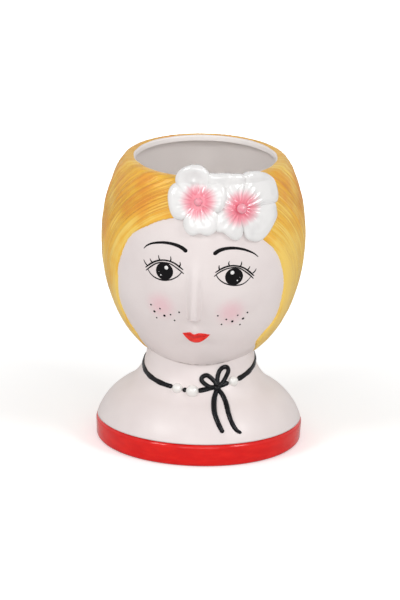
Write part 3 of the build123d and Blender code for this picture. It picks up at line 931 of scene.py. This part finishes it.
brush_tree, brush = empty_tree("brush_line", {
    "Track": "Geometry", "Flatness": "Float", "Sides": "Int", "Finish": "Material",
})
brush_run = brush["Track"].node("GeometryNodeMeshToCurve", {"Mesh": brush["Track"]})
brush_run = brush_run.node(
    "GeometryNodeSetCurveNormal",
    {"Curve": brush_run, "Normal": carried(brush_run, "outward", "FLOAT_VECTOR")}, mode="FREE",
)
brush_tip = squashed(brush_run.node(
    "GeometryNodeCurvePrimitiveCircle", {"Resolution": brush["Sides"], "Radius": 1.0},
), brush["Flatness"], 1.0, 1.0)
brush_stroke = brush_run.node("GeometryNodeCurveToMesh", {
    "Curve": brush_run, "Profile Curve": brush_tip, "Scale": carried(brush_run, "half_width"),
    "Fill Caps": True,
})
close_tree(brush_stroke, brush["Finish"])


def loose_points(name, points, edges):
    """A piece of bare points in millimetres, and edges, for a tree to work on."""
    mesh = bpy.data.meshes.new(name)
    mesh.from_pydata((np.asarray(points) * MILLIMETRE).tolist(), edges, [])
    return placed(name, mesh)


def brushed(name, strokes, surface, material, flatness, closed=False):
    """A piece of raised strokes on a surface, each one (across, height, width) points."""
    points, edges, half_widths, outward = [], [], [], []
    for stroke in strokes:
        stroke = list(stroke) + [stroke[0]] * closed
        track = smooth_line(stroke, len(stroke) * 9)
        line, half = track[:, :2], track[:, 2] / 2
        if closed:
            line, half = line[:-1], half[:-1]
        else:
            gone = np.concatenate([[0], np.cumsum(np.linalg.norm(np.diff(line, axis=0), axis=1))])
            from_end = np.minimum(gone, gone[-1] - gone)
            half = half * np.sqrt(np.clip(1 - np.clip(1 - from_end / half, 0, 1) ** 2, 0.04, 1))
        middle = surface(line[:, 0], line[:, 1], np.zeros(len(line)))
        first, count = len(half_widths), len(line)
        edges += [(first + i, first + (i + 1) % count) for i in range(count if closed else count - 1)]
        points.append(middle)
        outward.append(surface(line[:, 0], line[:, 1], np.ones(count)) - middle)
        half_widths.extend(half * MILLIMETRE)
    piece = loose_points(name, np.vstack(points), edges)
    mark_points(piece, "half_width", half_widths)
    mark_points(piece, "outward", np.vstack(outward))
    return worked(piece, brush_tree, {"Flatness": flatness, "Sides": 14, "Finish": material})


dot_tree, dot = empty_tree("enamel_dots", {
    "Places": "Geometry", "Flatness": "Float", "Finish": "Material",
})
dot_shape = squashed(dot["Places"].node(
    "GeometryNodeMeshUVSphere", {"Segments": 20, "Rings": 12, "Radius": MILLIMETRE},
), 1.0, 1.0, dot["Flatness"])
dot_way = carried(dot["Places"], "outward", "FLOAT_VECTOR")
dot_drops = dot["Places"].node("GeometryNodeInstanceOnPoints", {
    "Points": dot["Places"], "Instance": dot_shape, "Scale": carried(dot["Places"], "size"),
    "Rotation": dot_way.node("FunctionNodeAlignRotationToVector", {"Vector": dot_way}, axis="Z"),
})
close_tree(dot_drops, dot["Finish"])


def dotted(name, drops, surface, material, flatness):
    """A piece of round drops on a surface: place in front view and half width of each."""
    drops = np.array(drops)
    middle = surface(drops[:, 0], drops[:, 1], np.zeros(len(drops)))
    piece = loose_points(name, middle, [])
    mark_points(piece, "size", drops[:, 2])
    mark_points(piece, "outward", surface(drops[:, 0], drops[:, 1], np.ones(len(drops))) - middle)
    return worked(piece, dot_tree, {"Flatness": flatness, "Finish": material})


def enamel_dot(name, across, height, wide, tall):
    """A round drop of black enamel on the face, with a steep edge."""
    turns = np.linspace(0, math.tau, iris_sides + 1)[:-1]
    rings = [(share, enamel_thick * math.sqrt(1 - share ** 6)) for share in np.linspace(0.02, 1, 12)]
    rows = [
        skin_point(across + wide * share * np.cos(turns), height + tall * share * np.sin(turns), rise)
        for share, rise in rings + [(1, -enamel_sunk)]
    ]
    return as_piece(name, np.vstack(rows), drum_faces(len(rows), iris_sides), black_enamel)


def swollen(line, swell, drop=0.0):
    """Painted places made wider, and moved down by drop."""
    return [(across, height - drop, width * swell) for across, height, width in line]


black_paint = (skin_point, black_enamel, enamel_flatness)
face_paint = []
for side, lids in lid_lines.items():
    face_paint.append(brushed(f"{side}_brow", [swollen(brows[side], brow_swell)], *black_paint))
    strokes = [
        swollen(lids["lid"], lid_swell),
        swollen(lids["crease"], lid_swell, crease_drop),
        swollen(lids["lower_lid"], lower_lid_swell),
    ]
    strokes += [[(*place, width) for place, width in zip(lash, lash_widths)] for lash in lashes[side]]
    face_paint.append(brushed(f"{side}_lids_and_lashes", strokes, *black_paint))
for name, sizes in irises.items():
    face_paint.append(enamel_dot(name, *sizes))
face_paint.append(dotted(
    "painted_freckles", swollen(freckles, freckle_swell), skin_point, black_enamel, dot_flatness,
))
for piece in face_paint:
    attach(piece, "planter")
eye_glints = dotted("eye_glints", glints, skin_point, white_enamel, dot_flatness)
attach(eye_glints, "planter")

# Flowers: two five-petalled blossoms pressed from slip moulds and luted on the forehead,
# glazed white, with pink stain sprayed from the middle and a small round knob in each.
petal_edge_lift = 1.1
petal_full_lift = 4.4
petal_sunk = 1.2
petal_heart_drop = 1.5
petal_edge_curve = 3.6
petal_rings = 30
petal_ring_crowding = 1.7
petal_columns = 120
vein_depth = 0.30
vein_count = 17
petal_white = (0.80, 0.785, 0.775)
petal_grey = (0.71, 0.695, 0.69)
petal_pink = (0.78, 0.12, 0.19)
petal_pale_pink = (0.82, 0.38, 0.43)
petal_widening = {"left": 1.10, "right": 1.04}
petal_hollow = 0.55
petal_cup = {"top": 1.5}
heart_reach = 17.0
beyond_stain = 30.0
knob_pink = (0.85, 0.23, 0.31)
knob_radii = {"left": 2.975, "right": 3.5}
knob_lean = 60
sweep_height = 196.5
# Of each flower: its middle, the shift of its heart from there, the knob's lift and the petals,
# each with its own lift and its outline in front view.
flowers = {
    "left": ((-0.8, 186.6), (0.0, -1.4), 4.0, {
        "upper_right": (-0.1, [
            (0.0, 187.0), (3.4, 194.4), (5.1, 199.9), (6.5, 203.6), (10.3, 203.9), (20.2, 203.9),
            (23.4, 199.4), (19.4, 194.4), (9.9, 190.5),
        ]),
        "left": (0.1, [
            (-0.9, 186.8), (-6.2, 191.6), (-12.2, 194.6), (-16.7, 195.2), (-20.3, 191.8),
            (-21.4, 186.7), (-20.0, 179.7), (-17.4, 175.4), (-12.9, 174.0), (-8.2, 175.6),
            (-4.6, 179.9), (-2.2, 183.6),
        ]),
        "bottom": (0.3, [
            (-0.9, 187.0), (-5.0, 182.5), (-8.2, 177.2), (-9.3, 170.9), (-7.2, 165.7),
            (-3.3, 163.3), (1.1, 164.6), (5.8, 163.4), (10.2, 165.8), (12.7, 171.1), (12.1, 176.3),
            (8.9, 181.4), (4.2, 185.4),
        ]),
        "top": (0.7, [
            (-0.8, 186.6), (-9.0, 189.4), (-14.6, 195.3), (-15.6, 201.1), (-12.6, 206.7),
            (-6.6, 209.9), (-0.5, 209.6), (3.9, 205.8), (6.1, 201.4), (5.6, 197.3), (3.6, 191.5),
        ]),
        "right": (1.2, [
            (-0.9, 186.0), (2.0, 191.8), (6.3, 196.5), (11.7, 197.8), (16.2, 196.2), (17.6, 189.4),
            (16.5, 183.6), (12.6, 179.5), (8.0, 180.6), (3.6, 183.4),
        ]),
    }),
    "right": ((28.9, 183.0), (-2.2, -2.5), 4.6, {
        "left": (-0.3, [
            (28.9, 183.2), (25.3, 180.4), (21.1, 179.8), (16.4, 181.0), (13.5, 186.5),
            (14.2, 192.5), (17.1, 197.2), (21.2, 196.7), (25.9, 190.1),
        ]),
        "upper_left": (-0.1, [
            (28.9, 183.0), (23.0, 188.1), (17.6, 194.3), (16.4, 199.7), (18.9, 203.3),
            (25.2, 203.5), (28.4, 201.6), (29.1, 196.2), (29.2, 188.8),
        ]),
        "lower_left": (0.0, [
            (28.9, 183.5), (28.8, 176.1), (28.8, 168.3), (28.5, 163.0), (25.0, 160.0),
            (20.7, 161.8), (16.2, 165.3), (12.0, 166.3), (10.4, 171.1), (11.0, 176.3),
            (15.0, 180.8), (19.6, 183.1), (24.1, 184.1),
        ]),
        "upper_right": (0.3, [
            (28.7, 183.0), (28.6, 190.8), (28.2, 198.3), (28.9, 202.3), (33.5, 203.8),
            (38.7, 203.1), (43.6, 200.3), (47.7, 194.8), (50.0, 187.7), (50.2, 182.9),
            (48.2, 181.0), (41.0, 181.8), (34.7, 182.6),
        ]),
        "lower_right": (0.2, [
            (28.8, 183.4), (35.7, 182.6), (43.6, 181.5), (48.4, 180.6), (50.0, 175.7),
            (50.4, 171.6), (48.4, 166.8), (45.0, 161.4), (40.8, 158.2), (36.1, 158.6),
            (31.6, 161.5), (29.2, 167.7), (28.7, 176.1),
        ]),
    }),
}


def brow_point(across, height, lift=0.0):
    """A place over the head's front that carries straight on up above the rim."""
    low = np.minimum(height, sweep_height)
    slope = slope_of(head_radius, low) * (1 - ease(height, sweep_height - 9, sweep_height + 7))
    return lifted(across, height, lift, head_radius(low), slope)


petal_glaze, petal_shader, petal_spot = glaze("petal_glaze", 0.16, 1.0)
petal_wire = petal_spot.marked("petal_place", "Vector")
from_knob = petal_wire.axis("X")
rays = petal_wire.node("ShaderNodeTexNoise", {
    "Vector": petal_wire.vectors("MULTIPLY", (0.06, 5.5, 0.0)),
    "Scale": 1.0, "Detail": 3.0, "Roughness": 0.6,
})
sprayed = from_knob + (rays - 0.5) * 7.0
petal_colour = mottle(petal_spot, 11.0).step(0.4, 0.8).colours(petal_white, petal_grey)
petal_colour = sprayed.step(13.0, 7.5).colours(petal_colour, petal_pale_pink)
petal_colour = (sprayed.step(9.8, 4.0) * 0.85).colours(petal_colour, petal_pink)
feed(petal_shader, "Base Color", petal_colour)
dimple(petal_shader, rays * from_knob.step(15.0, 5.0), 0.25)

for side, (first_place, heart_shift, knob_lift, petals) in flowers.items():
    knob_place = np.add(first_place, heart_shift)
    for petal_name, (raised, outline_places) in petals.items():
        outline = np.array(outline_places + [outline_places[0]])
        near_knob = bump(np.hypot(*(outline - first_place).T) / heart_reach)
        outline = smooth_line(outline + near_knob[:, None] * heart_shift, petal_columns + 1)[:-1]
        heart = outline.mean(axis=0)
        axis = (heart - knob_place) / np.linalg.norm(heart - knob_place)
        along = ((outline - knob_place) @ axis)[:, None] * axis
        outline = knob_place + along + (outline - knob_place - along) * petal_widening[side]
        share = 1 - (1 - np.linspace(0, 1, petal_rings)[:, None]) ** petal_ring_crowding
        share = np.maximum(share, 0.01)
        across, height = heart[:, None, None] + (outline - heart).T[:, None] * share
        out_x, out_z = across - knob_place[0], height - knob_place[1]
        away, turn = np.hypot(out_x, out_z), np.arctan2(out_z, out_x)
        open_share = ease(away, 3.0, 11.0)
        fall = 1 - np.clip(1 - share ** petal_edge_curve, 0, 1) ** 0.5
        top_lift = petal_full_lift + raised - petal_heart_drop * (1 - ease(away, 2.0, 15.0))
        edge_lift = petal_edge_lift + raised * 0.6
        hollow = petal_hollow + petal_cup.get(petal_name, 0)
        hollow = hollow * np.exp(-((share - 0.25) / 0.40) ** 2) * open_share
        veins = np.cos(turn * vein_count + raised * 9) * ease(away, 3.5, 7.0)
        veins = vein_depth * veins * ease(-away, -17.0, -10.0) * (1 - fall)
        lift = top_lift - fall * (top_lift - edge_lift) * open_share - hollow + veins
        under = np.linspace(1, 0.05, 6)[:, None] * 0.985
        under_across, under_height = heart[:, None, None] + (outline - heart).T[:, None] * under
        grid = np.concatenate([
            brow_point(across, height, lift), brow_point(under_across, under_height, -petal_sunk),
        ])
        petal = as_piece(
            f"{side}_flower_{petal_name}_petal_glazed", grid.reshape(-1, 3),
            drum_faces(len(grid), petal_columns), petal_glaze,
        )
        place = np.zeros((len(grid) * petal_columns, 3))
        place[:away.size, 0] = away.ravel()
        place[:away.size, 1] = np.abs(turn.ravel())
        place[away.size:, 0] = beyond_stain
        mark_points(petal, "petal_place", place)
        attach(petal, "planter")
        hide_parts(f"{side}_flower_{petal_name}_petal")


def ball(name, middle, radius, material, lean=0):
    """A ball of slip round a point in millimetres, its axis leaned from upright by degrees."""
    profile = rounded((0, 0), radius, -90, 90, 25)
    made = solid_of_turning(name, profile, band_turns[::4], material)
    place = Matrix.Translation((middle * MILLIMETRE).tolist())
    made.data.transform(place @ Matrix.Rotation(math.radians(lean), 4, "X"))
    return made


knob_glaze, knob_shader, knob_spot = glaze("knob_pink_glaze", 0.16, 1.0)
knob_cloud = mottle(knob_spot, 2.2).step(0.3, 0.75)
feed(knob_shader, "Base Color", knob_cloud.colours(knob_pink, petal_pale_pink))
dimple(knob_shader, mottle(knob_spot, 2.0), 0.12)
for side, (first_place, heart_shift, knob_lift, petals) in flowers.items():
    middle = brow_point(*np.add(first_place, heart_shift), knob_lift)
    knob = ball(f"{side}_flower_knob_glazed", middle, knob_radii[side], knob_glaze, knob_lean)
    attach(knob, "planter")
    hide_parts(f"{side}_flower_knob")

# Choker: a ribbon painted round the neck in raised black slip, with three white slip pearls
# and a bow whose loops and tails are trailed on the skin from a small knot.
ribbon_height = 56.0
ribbon_width = 3.5
ribbon_proud = 1.8
choker_front_slope = 0.2
choker_side_slope = 0.04
choker_back_reach = 44.4
# Pearls: across, radius and height above the ribbon's line.
pearls = {
    "pearl_left": (-12.9, 3.6, -0.9),
    "pearl_middle": (-2.6, 4.4, -1.7),
    "pearl_right": (24.6, 3.6, 0.0),
}
knot_across = 14.1
knot_height = 47.3
knot_size = 2.7
bow_flatness = 0.92
slip_black = (0.003, 0.003, 0.004)
slip_soft_black = (0.008, 0.008, 0.011)
pearl_white = (0.84, 0.82, 0.79)
pearl_grey = (0.79, 0.765, 0.74)
bow_lines = {
    "bow_loop_left": [
        (13.8, 47.9, 3.0), (8.6, 48.7, 3.0), (4.0, 51.6, 3.2), (3.4, 54.2, 3.2), (6.6, 55.8, 3.2),
        (10.4, 53.4, 3.1), (13.3, 49.9, 3.0),
    ],
    "bow_loop_right": [
        (14.7, 48.4, 3.0), (14.0, 53.2, 3.1), (14.9, 57.7, 3.2), (17.3, 60.4, 3.2),
        (20.1, 60.2, 3.2), (21.0, 57.4, 3.2), (19.2, 53.0, 3.1), (16.9, 49.8, 3.0),
    ],
    "bow_tail_left": [
        (14.2, 47.0, 3.2), (12.9, 43.2, 3.6), (12.6, 39.6, 3.9), (13.4, 35.2, 3.8),
        (15.3, 31.2, 3.6), (17.6, 27.2, 3.5), (20.3, 23.2, 3.2),
    ],
    "bow_tail_right": [
        (14.8, 47.0, 3.2), (18.4, 42.9, 3.6), (21.2, 38.2, 3.7), (23.2, 33.6, 3.6),
        (25.8, 28.6, 3.4), (28.9, 24.5, 3.1), (32.6, 22.1, 2.2),
    ],
}


def bust_point(across, height, lift=0.0):
    """The point of the bust at a place in front view, lifted off the skin."""
    return lifted(across, height, lift, bust_radius(height), slope_of(bust_radius, height))


def choker_height(turn):
    """Height of the ribbon's middle where it passes a turn from the front."""
    height = np.full_like(np.asarray(turn, float), ribbon_height)
    for _ in range(6):
        radius = bust_radius(height)
        depth = -radius * np.cos(turn)
        level = np.clip(depth, 0, choker_back_reach) ** 2 / choker_back_reach / 2
        height = ribbon_height + choker_front_slope * (np.minimum(depth, choker_back_reach) - level)
        height = height + choker_side_slope * radius * np.sin(turn)
    return height


def round_neck(gone, up, lift=0.0):
    """A point on the neck: how far round along the ribbon's line and how far above it."""
    turn = np.asarray(gone, float) / neck_radius
    height = choker_height(turn) + up
    slope = slope_of(bust_radius, height)
    length = np.sqrt(1 + slope ** 2)
    out = bust_radius(height) + lift / length
    return np.stack([out * np.sin(turn), -out * np.cos(turn), height - lift * slope / length], axis=-1)


def turn_at(across):
    """The turn from the front at which the ribbon passes a place in front view."""
    turn = 0.0
    for _ in range(8):
        turn = math.asin(across / bust_radius(choker_height(turn)))
    return turn


black_slip, slip_shader, slip_place = glaze("black_slip_glaze", 0.14, 0.0, 0.16)
slip_cloud = mottle(slip_place, 3.0, 3.0)
slip_tone = slip_cloud.step(0.35, 0.75)
feed(slip_shader, "Base Color", slip_tone.colours(slip_black, slip_soft_black))
feed(slip_shader, "Roughness", 0.08 + 0.18 * slip_cloud)
dimple(slip_shader, mottle(slip_place, 1.8), 0.12)

# Ribbons: first and last turn, the heights above the ribbon's line there, and how late the
# height changes between them.
ribbon_runs = {
    "choker_ribbon": (turn_at(27.3), turn_at(-16.2) + math.tau, 0.0, -0.5, 3),
    "ribbon_spacer": (turn_at(-9.4), turn_at(-5.8), -1.2, -1.4, 3),
    "ribbon_stub_left": (turn_at(0.8), turn_at(knot_across), -1.6, 0.0, 1),
    "ribbon_stub_right": (turn_at(knot_across), turn_at(21.8), 0.0, 0.4, 3),
}
trailed = {}
for name, (start, end, start_up, end_up, bend) in ribbon_runs.items():
    count = max(4, round((end - start) * 14))
    ups = start_up + (end_up - start_up) * np.linspace(0, 1, count) ** bend
    widths = ribbon_width * (1 + 0.07 * np.sin(np.arange(count) * 1.7))
    run = list(zip(np.linspace(start, end, count) * neck_radius, ups, widths))
    trailed[name] = brushed(
        f"{name}_trailed", [run], round_neck, black_slip, ribbon_proud / ribbon_width,
    )
for name, line in bow_lines.items():
    trailed[name] = brushed(
        f"{name}_trailed", [line], bust_point, black_slip, bow_flatness, name.startswith("bow_loop"),
    )
knot_middle = bust_point(knot_across, knot_height)
trailed["bow_knot"] = ball("bow_knot_trailed", knot_middle, knot_size, black_slip)
for name, piece in trailed.items():
    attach(piece, "planter")
    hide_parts(name)

pearl_glaze, pearl_shader, pearl_place = glaze("pearl_glaze", 0.14, 1.0)
feed(pearl_shader, "Base Color", mottle(pearl_place, 3.0).colours(pearl_white, pearl_grey))
for name, (across, radius, up) in pearls.items():
    middle = round_neck(turn_at(across) * neck_radius, up)
    pearl = ball(f"{name}_glazed", middle, radius, pearl_glaze)
    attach(pearl, "planter")
    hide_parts(name)

# Studio: a white paper floor, two small soft boxes high at the sides and a large panel in
# front. A long lens looks slightly down at the planter, a little from its right.
floor_reach = 6.0
floor_drop = 0.0001
floor_white = 0.85
near_glow = 0.36
glow_start = 100.0
glow_full = 600.0
aim = Vector((-0.00126, 0.0, 0.0981))
camera_swing = 3.0
camera_rise = 16.6
camera_roll = 1.49
camera_distance = 3.6
camera_lens = 313.0
lamp_aim = Vector((0, 0, 0.1))
lamps = {
    "left_strip": {"swing": -47, "rise": 36, "distance": 1.4, "size": (0.34, 0.40), "watts": 5.0},
    "right_strip": {"swing": 56, "rise": 36, "distance": 1.4, "size": (0.34, 0.40), "watts": 5.0},
    "front_panel": {"swing": 4, "rise": 21, "distance": 2.4, "size": (1.8, 1.0), "watts": 12.5},
}
world_seen = 1.0
world_light = 0.47

bpy.ops.mesh.primitive_plane_add(size=floor_reach * 2, location=(0, 0, -floor_drop))
floor = bpy.context.object
floor.name = "paper_floor"
paper, paper_shader, paper_place = glaze("white_paper", 0.9, 0.0, 0.0)
paper_shader.inputs["Base Color"].default_value = (floor_white, floor_white, floor_white, 1)
paper_shader.inputs["Emission Color"].default_value = (1, 1, 1, 1)
paper_away = paper_place.vectors("LENGTH", output="Value").step(glow_start, glow_full)
paper_seen = paper_place.node("ShaderNodeLightPath", output="Is Camera Ray")
feed(paper_shader, "Emission Strength", paper_seen * (near_glow + (1 - near_glow) * paper_away))
floor.data.materials.append(paper)


def facing(name, data, target, swing, rise, distance, roll=0.0):
    """A lamp or camera that faces a point from degrees round from the front and up."""
    swing, rise = math.radians(swing), math.radians(rise)
    level = math.cos(rise)
    spoke = Vector((math.sin(swing) * level, -math.cos(swing) * level, math.sin(rise)))
    made = placed(name, data)
    made.location = target + spoke * distance
    made.rotation_mode = "QUATERNION"
    turned = spoke.to_track_quat("Z", "Y")
    made.rotation_quaternion = turned @ Quaternion((0, 0, 1), math.radians(roll))
    return made


camera_data = bpy.data.cameras.new("camera")
camera_data.sensor_width = 36.0
camera_data.lens = camera_lens
camera_data.clip_end = 50
bpy.context.scene.camera = facing(
    "camera", camera_data, aim, camera_swing, camera_rise, camera_distance, camera_roll,
)
for name, lamp in lamps.items():
    light = bpy.data.lights.new(name, "AREA")
    light.shape = "RECTANGLE"
    light.size, light.size_y = lamp["size"]
    light.energy = lamp["watts"]
    facing(name, light, lamp_aim, lamp["swing"], lamp["rise"], lamp["distance"])

world = bpy.data.worlds.new("studio")
bpy.context.scene.world = world
world.use_nodes = True
world_tree = world.node_tree
world_path = world_tree.nodes.new("ShaderNodeLightPath")
seen, mirrored, through = (
    Wire(world_tree, world_path.outputs[f"Is {ray} Ray"])
    for ray in ("Camera", "Glossy", "Transmission")
)
shown = seen.maths("MAXIMUM", mirrored).maths("MAXIMUM", through)
background = world_tree.nodes["Background"]
background.inputs["Color"].default_value = (1, 1, 1, 1)
world_strength = shown * (world_seen - world_light) + world_light
world_tree.links.new(world_strength.socket, background.inputs["Strength"])
bpy.context.scene.view_settings.view_transform = "Standard"
